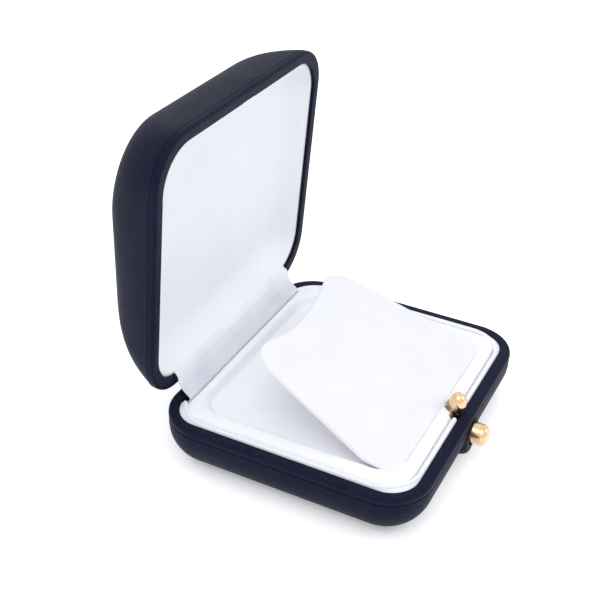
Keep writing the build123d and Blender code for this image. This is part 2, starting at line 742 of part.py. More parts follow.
def make_clasp_bracket():
    """Plate screwed to the front wall, with two ears that carry the hook's pin."""
    front = FRONT_Y + BASE_WALL_INSET
    back = front + BRACKET_THICKNESS
    half = BRACKET_WIDTH / 2
    bracket = block(-half, half, front, back, BRACKET_LOW, BRACKET_TOP)
    ear_side = [
        (front, BRACKET_LOW),
        (HOOK_Y - LEVER_EYE_RADIUS, LEVER_PIVOT_HEIGHT - LEVER_EYE_RADIUS),
        (HOOK_Y + LEVER_EYE_RADIUS, LEVER_PIVOT_HEIGHT - LEVER_EYE_RADIUS),
        (HOOK_Y + LEVER_EYE_RADIUS, LEVER_PIVOT_HEIGHT + LEVER_EYE_RADIUS),
        (front, BRACKET_LOW + 2 * LEVER_EYE_RADIUS),
    ]
    ear = extrude(Plane.YZ * make_face(Polyline(ear_side, close=True)), EAR_THICKNESS)
    ear_in = LEVER_WIDTH / 2 + EAR_GAP
    for left in (-ear_in - EAR_THICKNESS, ear_in):
        bracket += Pos(left, 0, 0) * ear
    bracket -= along(HOOK_PIN_RADIUS, -half, half, HOOK_Y, LEVER_PIVOT_HEIGHT)
    rod_hole = ROD_RADIUS + ROD_CLEARANCE
    bracket -= across(rod_hole, front - OVERCUT, back + OVERCUT, BUTTON_Z)
    return bracket - clasp_screw_group(SCREW_HEAD_RADIUS)


def make_hook_spring():
    """Leaf spring from the pocket floor up to the back of the lever."""
    touch_y = LEVER_Y + LEVER_THICKNESS
    floor = CLASP_POCKET_FLOOR + SPRING_THICKNESS / 2
    points = [
        (touch_y + SPRING_HEEL, floor),
        (touch_y + SPRING_FOOT, floor),
        (touch_y + SPRING_KNEE_BACK, BUTTON_Z - SPRING_KNEE_DROP),
        (touch_y + SPRING_THICKNESS / 2, BUTTON_Z - SPRING_TIP_DROP),
    ]
    strip = strip_section(points, SPRING_THICKNESS)
    return Pos(-SPRING_WIDTH / 2, 0, 0) * extrude(Plane.YZ * strip, SPRING_WIDTH)


# Catch in the lid, drawn closed

def catch_pocket():
    """Room for the ball and the catch, under a thin skin of the rim's leather."""
    half = BALL_RADIUS + CATCH_SIDE_GAP
    front = BALL_Y - BALL_RADIUS - CATCH_GAP
    top = BALL_Z + BALL_HALF_HEIGHT + CATCH_TOP_GAP
    room = block(-half, half, front, SLOT_BACK, CATCH_Z, top)
    room += block(-half, half, front - CATCH_THICKNESS, front, CATCH_Z, LID_Z + CATCH_HEIGHT)
    return room + block(-half, half, CATCH_LIP_EDGE, SLOT_BACK, LID_Z - OVERCUT, CATCH_Z)


def make_catch_plate():
    """Angle plate whose lower lip the ball snaps under."""
    half = BALL_RADIUS + CATCH_SIDE_GAP
    front = BALL_Y - BALL_RADIUS - CATCH_GAP
    back = front - CATCH_THICKNESS
    plate = block(-half, half, back, front, CATCH_Z, LID_Z + CATCH_HEIGHT)
    return plate + block(-half, half, back, CATCH_LIP_EDGE, CATCH_Z, CATCH_LIP_TOP)


def build():
    nodes = {
        "base_core": make_base_core(),
        "base_cover": make_base_cover(),
        "base_rim_band": make_base_rim_band(),
        "base_foot": make_base_foot(),
        "base_collar": make_base_collar(),
        "pad_foam": make_pad_foam(),
        "pad_board": make_pad_board(),
        "insert_pad": make_insert_pad(),
        "flap_tape": make_flap_tape(),
        "flap_board": make_flap_board(),
        "flap_cover": make_flap_cover(),
        "button_cap": make_button_cap(),
        "button_rod": make_button_rod(),
        "button_ferrule": make_button_ferrule(),
        "clasp_boss": make_clasp_boss(),
        "clasp_bracket": make_clasp_bracket(),
        "clasp_screws": clasp_screw_group(SCREW_HEAD_RADIUS),
        "hook_lever": make_hook_lever(),
        "hook_ball": make_hook_ball(),
        "hook_pin": make_hook_pin(),
        "hook_spring": make_hook_spring(),
        "hinge_leaf_base": leaf("base"),
        "hinge_screws_base": screw_places("base", SCREW_HEAD_RADIUS, SCREW_SHANK_RADIUS),
        "hinge_pin": make_hinge_pin(),
        "hinge_ribbon": make_hinge_ribbon(),
        "hinge_leaf_lid": opened(leaf("lid")),
        "hinge_screws_lid": opened(screw_places("lid", SCREW_HEAD_RADIUS, SCREW_SHANK_RADIUS)),
        "lid_core": opened(make_lid_core()),
        "lid_padding": opened(make_lid_padding()),
        "lid_cover": opened(make_lid_cover()),
        "lid_rim_band": opened(make_lid_rim_band()),
        "lid_lining": opened(make_lid_lining()),
        "lid_board": opened(make_lid_board()),
        "catch_plate": opened(make_catch_plate()),
    }
    return nodes


os.makedirs("parts", exist_ok=True)
for name, shape in build().items():
    shape.label = name
    export_step(shape, os.path.join("parts", name + ".step"))
    print(name, "volume", round(shape.volume, 1))
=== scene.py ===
# %% [markdown]
# # A jewelry case in navy leather
# The case is a small presentation box: a wooden tray and a pillow-shaped lid, both
# covered in leather, with a white satin lining, a velvet insert with a lift-up display
# flap, and a gilt push-button clasp. Its construction already exists as solids. Here
# they are loaded as a fixed frame, and every surface that the eye meets gets its real
# form and finish.

import math

import bmesh
import bpy
import numpy as np
from mathutils import Matrix, Vector


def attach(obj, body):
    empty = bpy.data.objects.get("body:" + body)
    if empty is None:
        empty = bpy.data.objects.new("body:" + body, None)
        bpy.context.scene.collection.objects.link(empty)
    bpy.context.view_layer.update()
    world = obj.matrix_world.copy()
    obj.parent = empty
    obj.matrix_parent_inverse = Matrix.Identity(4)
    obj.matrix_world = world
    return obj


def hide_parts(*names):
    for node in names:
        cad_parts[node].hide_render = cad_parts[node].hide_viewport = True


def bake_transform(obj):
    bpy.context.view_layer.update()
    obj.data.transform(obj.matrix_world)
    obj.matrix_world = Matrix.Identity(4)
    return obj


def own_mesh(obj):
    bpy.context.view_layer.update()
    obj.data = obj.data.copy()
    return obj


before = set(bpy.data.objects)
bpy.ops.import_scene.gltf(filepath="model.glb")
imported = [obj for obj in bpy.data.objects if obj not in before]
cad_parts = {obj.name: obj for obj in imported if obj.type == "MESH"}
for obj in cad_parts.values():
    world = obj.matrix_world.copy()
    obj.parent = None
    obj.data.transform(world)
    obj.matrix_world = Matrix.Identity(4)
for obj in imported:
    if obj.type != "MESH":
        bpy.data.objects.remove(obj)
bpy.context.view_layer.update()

# %% [markdown]
# ## The camera
# The picture was taken from the front left, a little above the open lid, with a long
# lens, so that the box keeps its straight lines. A camera can be pointed with a
# tracking constraint, but three axes written down once never drift.

# %% The camera
camera = bpy.data.objects.new("portrait_camera", bpy.data.cameras.new("portrait_camera"))
bpy.context.scene.collection.objects.link(camera)
camera.data.sensor_fit = "HORIZONTAL"
camera.data.sensor_width = 36.0
camera.data.lens = 65.44
camera.data.clip_start = 0.01
to_the_right = Vector((0.45038, -0.89239, 0.02816)).normalized()
straight_ahead = Vector((0.76019, 0.36673, -0.5363)).normalized()
upwards = to_the_right.cross(straight_ahead)
turn = Matrix((to_the_right, upwards, -straight_ahead)).transposed()
camera.matrix_world = Matrix.Translation((-0.2411, -0.10007, 0.20735)) @ turn.to_4x4()
bpy.context.scene.camera = camera
bpy.context.scene.view_settings.view_transform = "Standard"
print("camera looks down by", round(math.degrees(math.asin(0.5363)), 1), "degrees")

# %% [markdown]
# ## Sums on wires
# A material is a tree of nodes, and most of them only add, multiply or mix. Written
# out node by node such a tree is hard to read. A small class that wraps a socket lets
# a finish be written as a sum, and every sign in it becomes a node. Numbers go through
# Math nodes, and colours and vectors through Mix and Vector Math, because a Math node
# would turn a colour grey.

# %% Sums on wires
class Wire:
    """A socket of a material that can be used in sums."""

    def __init__(self, tree, socket=None):
        self.tree = tree
        self.socket = socket

    def node(self, kind, settings=None, sockets=None, out=0):
        """Any node: its type, its settings, then the values or wires of its sockets."""
        made = self.tree.nodes.new(kind)
        for key, value in (settings or {}).items():
            if key == "stops":
                ramp = made.color_ramp
                for place, (position, grey) in enumerate(value):
                    if place >= 2:
                        ramp.elements.new(position)
                    ramp.elements[place].position = position
                    ramp.elements[place].color = (grey, grey, grey, 1.0)
            else:
                setattr(made, key, value)
        for key, value in (sockets or {}).items():
            if isinstance(value, Wire):
                self.tree.links.new(value.socket, made.inputs[key])
            else:
                made.inputs[key].default_value = value
        return Wire(self.tree, made.outputs[out])

    def sum(self, operation, first, second):
        """One sign of an expression, as a Math or a Vector Math node."""
        kinds = [item.socket.type for item in (first, second) if isinstance(item, Wire)]
        if "VECTOR" in kinds:
            pair = {}
            for key, item in ((0, first), (1, second)):
                pair[key] = item if isinstance(item, Wire) else (item, item, item)
            return self.node("ShaderNodeVectorMath", {"operation": operation}, pair)
        return self.node("ShaderNodeMath", {"operation": operation}, {0: first, 1: second})

    def __add__(self, other):
        return self.sum("ADD", self, other)

    def __radd__(self, other):
        return self.sum("ADD", other, self)

    def __sub__(self, other):
        return self.sum("SUBTRACT", self, other)

    def __rsub__(self, other):
        return self.sum("SUBTRACT", other, self)

    def __mul__(self, other):
        return self.sum("MULTIPLY", self, other)

    def __rmul__(self, other):
        return self.sum("MULTIPLY", other, self)

    def mixed(self, low, high):
        """A colour between low and high, with this wire as the share of high."""
        settings = {"data_type": "RGBA"}
        return self.node("ShaderNodeMix", settings, {0: self, 6: low, 7: high}, out=2)

    def stepped(self, *stops):
        """This wire sent through a ramp of (position, grey) stops."""
        return self.node("ShaderNodeValToRGB", {"stops": stops}, {0: self})


def linear(red, green, blue):
    """A colour written as it looks on the screen, 0 to 255, as Blender wants it."""
    shares = [channel / 255 for channel in (red, green, blue)]
    light = [s / 12.92 if s <= 0.04045 else ((s + 0.055) / 1.055) ** 2.4 for s in shares]
    return (*light, 1.0)


print("navy is", [round(share, 3) for share in linear(30, 36, 60)[:3]], "in linear light")

# %% [markdown]
# ## Finishes
# Each finish starts as one Principled shader. What is the same all over the surface
# is set on the shader's own sockets. What varies is drawn from noise in the object's
# own coordinates, in metres, so a scale of 1000 makes marks about a millimetre wide.

# %% A finish to start from
def start_finish(name, **constants):
    """A material with one Principled shader, and a wire at the object's coordinates."""
    material = bpy.data.materials.new(name)
    material.use_nodes = True
    tree = material.node_tree
    tree.nodes.clear()
    output = tree.nodes.new("ShaderNodeOutputMaterial")
    shader = tree.nodes.new("ShaderNodeBsdfPrincipled")
    tree.links.new(shader.outputs[0], output.inputs[0])
    for key, value in constants.items():
        shader.inputs[key.replace("_", " ")].default_value = value
    place = Wire(tree).node("ShaderNodeTexCoord", out="Object")
    return material, shader, place


def drive(shader, socket, wire):
    """Sends a wire into one of the shader's sockets."""
    wire.tree.links.new(wire.socket, shader.inputs[socket])


def noise(place, scale, detail=3.0, roughness=0.55):
    """Soft random patches."""
    sockets = {"Vector": place, "Scale": scale, "Detail": detail, "Roughness": roughness}
    return place.node("ShaderNodeTexNoise", None, sockets)


def relief(height, depth, strength=1.0):
    """A bump whose full height is depth metres."""
    sockets = {"Height": height, "Distance": depth, "Strength": strength}
    return height.node("ShaderNodeBump", None, sockets)


print("helpers for finishes are ready")

# %% [markdown]
# ## Navy leather
# The covering is a fine-grained calf leather, almost black in the shade and a deep
# blue where light grazes it. Leather grain is a net of small pebbles with creases
# between them. Voronoi cells give the pebbles, noise bends the net so that no cell is
# regular, and a second, finer noise makes the pores. Colour is darkest in the creases:
# that is painted shade.

# %% Navy leather
def bend_vector(place, reach):
    """A vector that wanders over the surface by up to reach metres, to bend a pattern with."""
    wandering = place.node("ShaderNodeTexNoise", None, {"Vector": place, "Scale": 520.0}, out="Color")
    return place.node("ShaderNodeVectorMath", {"operation": "SCALE"}, {0: wandering, "Scale": reach})


def make_leather():
    material, shader, place = start_finish("navy_leather", Specular_IOR_Level=0.10)
    bend = noise(place, 420.0, 2.0)
    wavy = place + bend_vector(place, 0.0006)
    settings = {"feature": "DISTANCE_TO_EDGE"}
    pebbles = place.node("ShaderNodeTexVoronoi", settings, {"Vector": wavy, "Scale": 1250.0})
    rounded = pebbles.stepped((0.0, 0.0), (0.28, 1.0))
    pores = noise(place, 3800.0, 2.0, 0.6)
    creases = noise(place, 160.0, 4.0, 0.62)
    height = rounded * 0.5 + pores * 0.3 + creases * 0.5
    drive(shader, "Normal", relief(height, 0.00009, 0.55))
    # Painted shade: the colour is darker in the creases, where rounded is low.
    tone = noise(place, 38.0, 3.0) * 0.55 + rounded * 0.25 + bend * 0.2
    shade = tone.stepped((0.32, 0.0), (0.72, 1.0))
    drive(shader, "Base Color", shade.mixed(linear(12, 16, 36), linear(20, 26, 52)))
    drive(shader, "Roughness", 0.56 - shade * 0.12 + creases * 0.06)
    return material


leather = make_leather()
print("leather:", len(leather.node_tree.nodes), "nodes")

# %% [markdown]
# ## White satin
# The lid is lined with satin, and the collar and the hinge ribbon are cut from it. Its
# threads are far finer than a tenth of a millimetre, so they show as a soft lustre
# with a faint grain. Two noises stretched along the threads, one each way, give that.

# %% White satin
def make_satin(name, light, shadow, thread_scale, lustre, painted_light_above=False):
    material, shader, place = start_finish(name, Sheen_Weight=0.12, Sheen_Roughness=0.4)
    stretch = {"Vector": place, "Scale": (1.0, 6.0, 6.0)}
    warp = noise(place.node("ShaderNodeMapping", None, stretch), thread_scale, 2.0)
    across = {"Vector": place, "Scale": (6.0, 1.0, 1.0)}
    weft = noise(place.node("ShaderNodeMapping", None, across), thread_scale, 2.0)
    fold_relief_and_shade = noise(place, 60.0, 2.0)
    drive(shader, "Normal", relief(warp * 0.4 + weft * 0.3 + fold_relief_and_shade * 0.9, 0.00006, 0.5))
    # Painted shade: the colour is darker in patches where the broad fold noise is low, like the shade of
    # soft folds.
    tone = (fold_relief_and_shade * 0.7 + warp * 0.3).stepped((0.3, 0.0), (0.7, 1.0))
    # Painted light: the upper part of the ribbon is painted paler, as if lit from above.
    if painted_light_above:
        height = place.node("ShaderNodeSeparateXYZ", None, {0: place}, out=2)
        painted_top_light = (height * 100.0 - 1.6).stepped((0.36, 0.0), (0.52, 1.0))
        tone = tone * 0.55 + painted_top_light * 0.45
    drive(shader, "Base Color", tone.mixed(shadow, light))
    drive(shader, "Roughness", lustre + warp * 0.14)
    return material


# Both satins carry painted fold shade; the ribbon's is deeper and lavender.
lining_satin = make_satin("lining_satin", linear(249, 249, 251), linear(244, 244, 248), 500.0, 0.46)
ribbon_satin = make_satin("ribbon_satin", linear(252, 252, 253), linear(212, 212, 224), 900.0, 0.36, True)
print("satins:", lining_satin.name, ribbon_satin.name)

# %% [markdown]
# ## White velvet
# The insert and its flap are covered in short, dense velvet. Velvet has no highlight:
# it glows a little where it is seen edge on, which is what sheen is for, and its pile
# lies in slightly different directions, which makes faint clouds. The cloth is one, but
# the flap's copy is painted a shade darker, as it looks in the picture: painted shade.

# %% White velvet
def make_velvet(name, light, dark):
    constants = {"Sheen_Weight": 0.12, "Sheen_Roughness": 0.5, "Specular_IOR_Level": 0.15}
    material, shader, place = start_finish(name, **constants)
    pile = noise(place, 5200.0, 2.0, 0.7)
    brushed = noise(place, 90.0, 3.0)
    drive(shader, "Normal", relief(pile * 0.8 + brushed * 0.5, 0.00008, 0.45))
    tone = (brushed * 0.75 + pile * 0.25).stepped((0.3, 0.0), (0.7, 1.0))
    drive(shader, "Base Color", tone.mixed(dark, light))
    drive(shader, "Roughness", 0.86 + pile * 0.1)
    return material


velvet = make_velvet("white_velvet", linear(254, 254, 255), linear(250, 250, 254))
# The flap's velvet is the pad's cloth made darker: painted shade.
flap_velvet_painted_shade = make_velvet("flap_velvet_painted_shade", linear(246, 245, 249), linear(240, 240, 245))
print("velvets:", velvet.name, flap_velvet_painted_shade.name)

# %% [markdown]
# ## Polished gilt and steel
# The ball and the button are gilt brass, polished by hand: bright, with hair lines
# that soften the reflections. The hidden fittings are plated steel with turning marks.

# %% Polished gilt and steel
def make_metal(name, light, dark, polish, mark_scale):
    material, shader, place = start_finish(name, Metallic=1.0)
    marks = noise(place, mark_scale, 4.0, 0.6)
    worn = noise(place, 240.0, 2.0)
    drive(shader, "Base Color", worn.stepped((0.35, 0.0), (0.65, 1.0)).mixed(dark, light))
    drive(shader, "Roughness", polish + marks * 0.08 + worn * 0.04)
    drive(shader, "Normal", relief(marks, 0.000012, 0.35))
    return material


gilt = make_metal("polished_gilt", linear(246, 216, 176), linear(232, 192, 146), 0.14, 2600.0)
steel = make_metal("plated_steel", linear(205, 204, 200), linear(180, 178, 172), 0.26, 1400.0)
brass = make_metal("brass_fitting", linear(214, 186, 128), linear(196, 164, 104), 0.24, 1400.0)
print("metals:", gilt.name, steel.name, brass.name)

# %% [markdown]
# ## What lies underneath
# The shell is turned and routed wood, the boards are grey card, and the padding is
# wadding and foam. Little of this shows, but a case that is opened for repair shows it
# all, so each has its own plain finish.

# %% Wood, card and wadding
def make_wood():
    material, shader, place = start_finish("limewood", Specular_IOR_Level=0.3)
    drawn = place.node("ShaderNodeMapping", None, {"Vector": place, "Scale": (1.0, 9.0, 9.0)})
    grain = noise(drawn, 130.0, 5.0, 0.65)
    drive(shader, "Base Color", grain.mixed(linear(176, 142, 100), linear(214, 184, 142)))
    drive(shader, "Roughness", 0.55 + grain * 0.25)
    drive(shader, "Normal", relief(grain, 0.0001, 0.4))
    return material


def make_fibre(name, light, dark, scale, depth):
    material, shader, place = start_finish(name, Specular_IOR_Level=0.2)
    fibres = noise(place, scale, 5.0, 0.7)
    drive(shader, "Base Color", fibres.mixed(dark, light))
    drive(shader, "Roughness", 0.8 + fibres * 0.15)
    drive(shader, "Normal", relief(fibres, depth, 0.6))
    return material


wood = make_wood()
card = make_fibre("white_card", linear(236, 234, 230), linear(220, 218, 212), 900.0, 0.00005)
wadding = make_fibre("cotton_wadding", linear(240, 238, 232), linear(222, 219, 212), 700.0, 0.0003)
foot_cloth = make_fibre("foot_cloth", linear(38, 42, 62), linear(24, 27, 44), 2400.0, 0.00008)
print("plain finishes:", wood.name, card.name, wadding.name, foot_cloth.name)

# %% [markdown]
# ## Dressing the solids
# Every solid of the frame takes a finish by name. Some are covered later by a finer
# piece, and then only the finer piece is shown.

# %% Dressing the solids
finish_of_solid = {
    "base_core": wood,
    "lid_core": wood,
    "base_cover": leather,
    "base_rim_band": leather,
    "lid_cover": leather,
    "lid_rim_band": leather,
    "clasp_boss": leather,
    "base_foot": foot_cloth,
    "base_collar": lining_satin,
    "lid_lining": lining_satin,
    "hinge_ribbon": ribbon_satin,
    "insert_pad": velvet,
    "flap_cover": flap_velvet_painted_shade,
    "flap_tape": velvet,
    "pad_board": card,
    "flap_board": card,
    "lid_board": card,
    "pad_foam": wadding,
    "lid_padding": wadding,
    "button_cap": gilt,
    "button_ferrule": gilt,
    "hook_lever": gilt,
    "hook_ball": gilt,
    "catch_plate": gilt,
    "button_rod": brass,
    "hinge_leaf_base": brass,
    "hinge_leaf_lid": brass,
    "hinge_pin": steel,
    "hinge_screws_base": steel,
    "hinge_screws_lid": steel,
    "clasp_bracket": steel,
    "clasp_screws": steel,
    "hook_pin": steel,
    "hook_spring": steel,
}
for solid_name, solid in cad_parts.items():
    solid.data.materials.clear()
    solid.data.materials.append(finish_of_solid[solid_name])
print(len(finish_of_solid), "solids dressed")

# %% [markdown]
# ## Rings
# Nearly every piece of the case is the same rounded rectangle, drawn in and raised
# step by step. So one helper draws that outline with a fixed number of points, and
# another lays faces between one outline and the next. As every ring has the same
# points in the same order, the faces are clean four-sided strips. Everything is drawn
# in millimetres and turned into metres when the mesh is made.

# %% Rings
CORNER_STEPS = 16
SIDE_STEPS = 22


def ring(half_x, half_y, corner, z):
    """Points round a rounded rectangle, anticlockwise, with one corner radius or four."""
    four = corner if isinstance(corner, tuple) else (corner,) * 4
    four = [max(min(radius, half_x - 0.2, half_y - 0.2), 0.05) for radius in four]
    corners = []
    for quarter, (side_x, side_y) in enumerate([(1, 1), (-1, 1), (-1, -1), (1, -1)]):
        radius = four[quarter]
        middle = (side_x * (half_x - radius), side_y * (half_y - radius))
        corners.append(arc(middle, radius, 90 * quarter, 90 * quarter + 90, CORNER_STEPS))
    points = []
    for quarter in range(4):
        side = np.linspace(corners[quarter - 1][-1], corners[quarter][0], SIDE_STEPS + 2)[1:-1]
        points += list(side) + corners[quarter]
    return np.array([(x, y, z) for x, y in points])


def strips(rows, around=True, closed=False, caps=True):
    """Points and faces of a skin laid over rows of points."""
    count = len(rows[0])
    faces = []
    last = len(rows) if closed else len(rows) - 1
    for row in range(last):
        here, above = row * count, (row + 1) % len(rows) * count
        for step in range(count if around else count - 1):
            ahead = (step + 1) % count
            faces.append((here + step, here + ahead, above + ahead, above + step))
    if caps and around and not closed:
        faces.append(tuple(range(count))[::-1])
        faces.append(tuple((len(rows) - 1) * count + step for step in range(count)))
    return np.vstack(rows), faces


def arc(centre, radius, first, last, steps):
    """Points of a circular arc in a section, angles in degrees."""
    angles = np.radians(np.linspace(first, last, steps + 1))
    return [(centre[0] + radius * math.cos(a), centre[1] + radius * math.sin(a)) for a in angles]


print("a ring has", len(ring(10, 10, 2, 0)), "points")

# %% [markdown]
# ## From points to pieces
# A piece is made once: its mesh, its finish, the body it rides on and the solid that
# it stands for. Notches, such as the slot for the clasp, are cut with a block through
# a Boolean, which is simpler than drawing the outline round them. The Boolean is
# applied at once, so no cutter is left in the scene.

# %% From points to pieces
def make_piece(name, points, faces, finish, body, slot, stands_for=(), crease=40.0):
    """A smooth mesh from points in millimetres, riding on a body."""
    mesh = bpy.data.meshes.new(name)
    mesh.from_pydata([tuple(p) for p in np.asarray(points) * 0.001], [], faces)
    tidy = bmesh.new()
    tidy.from_mesh(mesh)
    bmesh.ops.remove_doubles(tidy, verts=tidy.verts, dist=0.000002)
    bmesh.ops.dissolve_degenerate(tidy, edges=tidy.edges, dist=0.000002)
    bmesh.ops.recalc_face_normals(tidy, faces=tidy.faces)
    tidy.to_mesh(mesh)
    tidy.free()
    piece = bpy.data.objects.new(name, mesh)
    bpy.context.scene.collection.objects.link(piece)
    mesh.materials.append(finish)
    smooth(piece, crease)
    if body:
        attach(piece, body)
    if stands_for:
        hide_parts(*stands_for)
    print(name, "has", len(mesh.polygons), "faces")
    return piece


def smooth(piece, crease):
    """Shades a mesh smoothly, with edges sharper than crease degrees kept crisp."""
    piece.data.shade_smooth()
    piece.data.set_sharp_from_angle(angle=math.radians(crease))


def block(x_low, x_high, y_low, y_high, z_low, z_high):
    """Points and faces of a plain block."""
    points = [(x, y, z) for z in (z_low, z_high) for y in (y_low, y_high) for x in (x_low, x_high)]
    faces = [(0, 2, 3, 1), (4, 5, 7, 6), (0, 1, 5, 4), (2, 6, 7, 3), (0, 4, 6, 2), (1, 3, 7, 5)]
    return np.array(points), faces


def cut_away(piece, *blocks, crease=40.0, placed=None):
    """Cuts blocks out of a piece and leaves a plain mesh."""
    cutters = []
    for points, faces in blocks:
        if placed:
            points = placed(points)
        mesh = bpy.data.meshes.new("cutter")
        mesh.from_pydata([tuple(p) for p in points * 0.001], [], faces)
        cutter = bpy.data.objects.new("cutter", mesh)
        bpy.context.scene.collection.objects.link(cutter)
        cutters.append(cutter)
        cut = piece.modifiers.new("notch", "BOOLEAN")
        cut.operation = "DIFFERENCE"
        cut.solver = "EXACT"
        cut.object = cutter
    bpy.context.view_layer.update()
    seen = piece.evaluated_get(bpy.context.evaluated_depsgraph_get())
    carved = bpy.data.meshes.new_from_object(seen)
    piece.modifiers.clear()
    piece.data = carved
    for cutter in cutters:
        bpy.data.objects.remove(cutter)
    smooth(piece, crease)
    print(piece.name, "is notched")


# %% [markdown]
# ## The leather of the base
# The tray has straight walls that roll under into a flat bottom, like a pebble. The
# leather is one skin, turned in at the seam below the rim. It is drawn as rings from
# the middle of the bottom outwards and up the wall, then back down inside, so that it
# is a real skin 0.6 mm thick.

# %% The leather of the base
BOX_WIDTH, BOX_DEPTH, BOX_CORNER = 90.0, 79.0, 13.3
RIM_Z = 16.0
SKIN = 0.6
FOOT = 0.4
BOTTOM_ROUND = 11.5
WALL_TOP = 12.7
BAND_HEIGHT = 2.1
SEAM_ROUND = 0.45
LID_SEAM_ROUND = 0.14


def wall_ring(inset, z, corner=None):
    """The box outline, drawn in by inset."""
    corner = BOX_CORNER - inset if corner is None else corner
    return ring(BOX_WIDTH / 2 - inset, BOX_DEPTH / 2 - inset, corner, z)


def tray_section(skin):
    """Inset and height from the middle of the bottom up to the seam."""
    floor = FOOT + skin
    across = [(inset, floor) for inset in (36.0, 28.0, 21.0, 16.0, 13.0)]
    turned = arc((BOTTOM_ROUND, FOOT + BOTTOM_ROUND), BOTTOM_ROUND - skin, -90, -180, 22)
    return across + turned


seam_z = RIM_Z - BAND_HEIGHT
lip = arc((SEAM_ROUND, seam_z - SEAM_ROUND), SEAM_ROUND, 180, 90, 6)
outside = tray_section(0.0) + [(0.0, WALL_TOP)] + lip
inside = [(SKIN, seam_z)] + tray_section(SKIN)[::-1]
rows = [wall_ring(inset, z) for inset, z in outside + inside]
make_piece("base_leather", *strips(rows), leather, "base", "leather", ["base_cover"])

# %% [markdown]
# ## The rim bands
# A strip of the same leather is folded over each rim: a soft bead outside, a face that
# the two halves meet on, and a turned-in edge inside. The two bands differ only in
# width and depth, so one function draws the section, and the ring helper does the rest.
# At the back a window lets the hinge leaf in.

# %% The rim bands
HINGE_Y, HINGE_Z = 41.1, 18.4
OPEN_ANGLE = math.radians(85.8)
LID_Z = 16.15
WINDOW_HALF = 20.25
BASE_RIM_WIDTH, BASE_INNER_CORNER, BASE_TURN_IN = 3.5, 8.6, 3.9
LID_RIM_WIDTH, LID_INNER_CORNER, LID_TURN_IN = 3.2, 11.7, 1.4
CATCH_SLOT_HALF = 3.3


def opened(points):
    """Points of the closed lid, swung open about the hinge pin."""
    points = np.array(points, float)
    back = points[:, 1] - HINGE_Y
    up = points[:, 2] - HINGE_Z
    points[:, 1] = HINGE_Y + back * math.cos(OPEN_ANGLE) + up * math.sin(OPEN_ANGLE)
    points[:, 2] = HINGE_Z - back * math.sin(OPEN_ANGLE) + up * math.cos(OPEN_ANGLE)
    return points


def band_section(width, turn_in, seam):
    """Inset and depth below the face, round a folded strip of leather."""
    bead = arc((seam, -BAND_HEIGHT + seam), seam, -90, -180, 5)
    belly = [(-0.05, -1.3), (-0.07, -1.0), (-0.03, -0.75)]
    edge = arc((0.62, -0.62), 0.62, 180, 90, 7)
    face = [(width * 0.4, 0.02), (width * 0.7, 0.01), (width - 0.5, -0.02)]
    inner_edge = arc((width - 0.35, -0.37), 0.35, 90, 0, 6)
    turned = [(width, -turn_in), (width - SKIN, -turn_in)]
    hidden = [(width - SKIN, -SKIN - 0.1), (SKIN, -SKIN - 0.1), (SKIN, -BAND_HEIGHT)]
    return bead + belly + edge + face + inner_edge + turned + hidden


def band_rings(width, turn_in, inner_corner, face_z, up, seam):
    """The rings of a band, with the corner radius changing across its width."""
    rows = []
    for inset, depth in band_section(width, turn_in, seam):
        outer_corner = BOX_CORNER - inset
        share = min(max(inset / width, 0.0), 1.0) ** 2
        corner = outer_corner * (1 - share) + inner_corner * share
        rows.append(wall_ring(inset, face_z + up * -depth, corner))
    return rows


base_rings = band_rings(BASE_RIM_WIDTH, BASE_TURN_IN, BASE_INNER_CORNER, RIM_Z, -1, SEAM_ROUND)
points, faces = strips(base_rings, closed=True)
base_band = make_piece("base_band", points, faces, leather, "base", "leather", ["base_rim_band"])
cut_away(base_band, block(-WINDOW_HALF, WINDOW_HALF, 36.0, 45.0, RIM_Z - SKIN, RIM_Z + 1))
lid_rings = band_rings(LID_RIM_WIDTH, LID_TURN_IN, LID_INNER_CORNER, LID_Z, 1, LID_SEAM_ROUND)
points, faces = strips(lid_rings, closed=True)
lid_band = make_piece("lid_band", opened(points), faces, leather, "lid", "leather", ["lid_rim_band"])
cut_away(
    lid_band,
    block(-WINDOW_HALF, WINDOW_HALF, 36.0, 45.0, LID_Z - 1, LID_Z + SKIN),
    block(-CATCH_SLOT_HALF, CATCH_SLOT_HALF, -36.62, -30.64, LID_Z - 1, LID_Z + 6),
    block(-CATCH_SLOT_HALF, CATCH_SLOT_HALF, -37.82, -30.0, LID_Z + 0.29, LID_Z + 6),
    placed=opened,
)

# %% [markdown]
# ## The leather of the lid
# The lid is a pillow: its walls lean in and roll over into a nearly flat crown, and its
# corners grow rounder as they rise. It is also thicker at the front than at the hinge.
# A pillow could be sculpted, but its section is a simple power curve, and following it
# ring by ring gives an even skin.

# %% The leather of the lid
LID_RISE = 15.8
CROWN_POWER = 14
CORNER_GROWTH = 1.38
LID_SLOPE = 0.155
SLOPE_RUN = 0.8
HALF_DEPTH = BOX_DEPTH / 2


def crown_ring(inset, skin):
    """One outline of the pillow, drawn in by the skin along the surface normal."""
    left = 1 - inset / HALF_DEPTH
    height = BAND_HEIGHT + LID_RISE * (1 - left ** CROWN_POWER)
    slope = LID_RISE * CROWN_POWER / HALF_DEPTH * left ** (CROWN_POWER - 1)
    length = math.hypot(1, slope)
    inward = inset + skin * slope / length
    corner = BOX_CORNER - skin + CORNER_GROWTH * inset
    points = ring(BOX_WIDTH / 2 - inward, HALF_DEPTH - inward, corner, height - skin / length)
    return thickened_to_front(points)


def thickened_to_front(points):
    """Raises the front of the lid and lowers its back, but keeps the seam level."""
    share = np.clip((points[:, 2] - BAND_HEIGHT) / SLOPE_RUN, 0, 1)
    points[:, 2] = LID_Z + points[:, 2] * (1 - share * LID_SLOPE * points[:, 1] / HALF_DEPTH)
    return points


